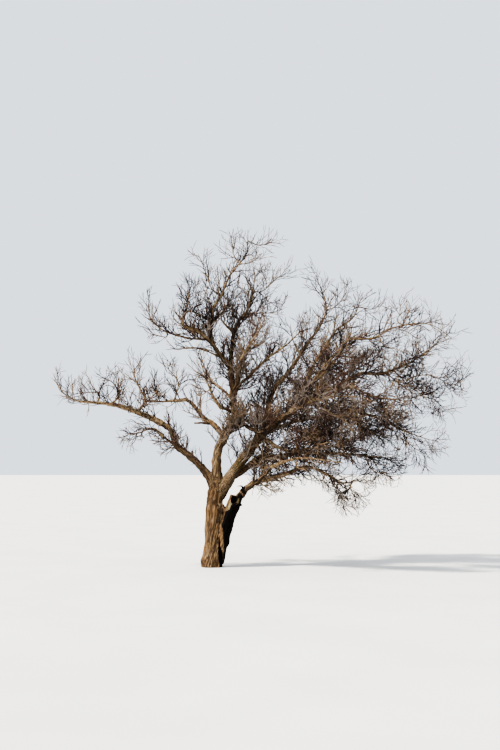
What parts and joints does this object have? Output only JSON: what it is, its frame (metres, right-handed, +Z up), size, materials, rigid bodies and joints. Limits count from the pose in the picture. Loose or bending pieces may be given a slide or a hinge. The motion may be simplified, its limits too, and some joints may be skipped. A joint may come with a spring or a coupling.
{
  "type": "bare tree",
  "caption": "Leafless old field tree: a leaning trunk with a split, hollow-topped side stem, low spreading boughs and a wide crown of fine bare twigs.",
  "frame": {"origin": "middle of the flat cut under the trunk, at ground level", "axes": "+Z up the trunk, +X to the right of the pictured side, along the crown's greatest spread, and +Y away from that side"},
  "size_m": [6.2646, 3.2573, 5.1461],
  "materials": {
    "trunk_bark": "deeply furrowed grey-brown bark",
    "bough_bark": "rough brown bark with yellow-green lichen",
    "twig_bark": "thin dark brown twigs"
  },
  "bodies": {
    "root": {"trunk": "trunk_bark", "bough_left_low": "bough_bark", "bough_left_under": "bough_bark", "bough_leader_low": "bough_bark", "bough_left_high": "bough_bark", "bough_cross": "bough_bark", "bough_leader_high": "bough_bark", "bough_mid_left": "bough_bark", "bough_back_left": "bough_bark", "bough_mid_right": "bough_bark", "bough_front_top": "bough_bark", "bough_back_top": "bough_bark", "bough_top_left": "bough_bark", "bough_crown": "bough_bark", "bough_thin_low": "bough_bark", "bough_top": "bough_bark", "bough_crown_left": "bough_bark", "bough_right_main": "bough_bark", "bough_right_low": "bough_bark", "bough_right_second": "bough_bark", "bough_arch": "bough_bark", "bough_back": "bough_bark", "bough_front": "bough_bark", "bough_back_right": "bough_bark", "bough_upper_right": "bough_bark", "bough_right_upper": "bough_bark", "bough_right_far": "bough_bark", "bough_right_lower": "bough_bark", "bough_front_right": "bough_bark", "bough_front_upper": "bough_bark", "bough_low_limb": "bough_bark", "bough_low_front": "bough_bark", "twigs_left_far": "twig_bark", "twigs_left_under": "twig_bark", "twigs_left_high": "twig_bark", "twigs_mid_left": "twig_bark", "twigs_back_left": "twig_bark", "twigs_top": "twig_bark", "twigs_elbow": "twig_bark", "twigs_crown_left": "twig_bark", "twigs_thin_low": "twig_bark", "twigs_crown": "twig_bark", "twigs_front_top": "twig_bark", "twigs_back_top": "twig_bark", "twigs_mid_right": "twig_bark", "twigs_tall": "twig_bark", "twigs_upper_right": "twig_bark", "twigs_right_upper": "twig_bark", "twigs_right_mid": "twig_bark", "twigs_right_lower": "twig_bark", "twigs_low_right": "twig_bark", "twigs_lowest": "twig_bark", "twigs_low_front": "twig_bark", "twigs_cross": "twig_bark", "twigs_front": "twig_bark", "twigs_back": "twig_bark", "twigs_back_right": "twig_bark", "twigs_front_right": "twig_bark", "twigs_front_upper": "twig_bark"}
  },
  "joints": []
}
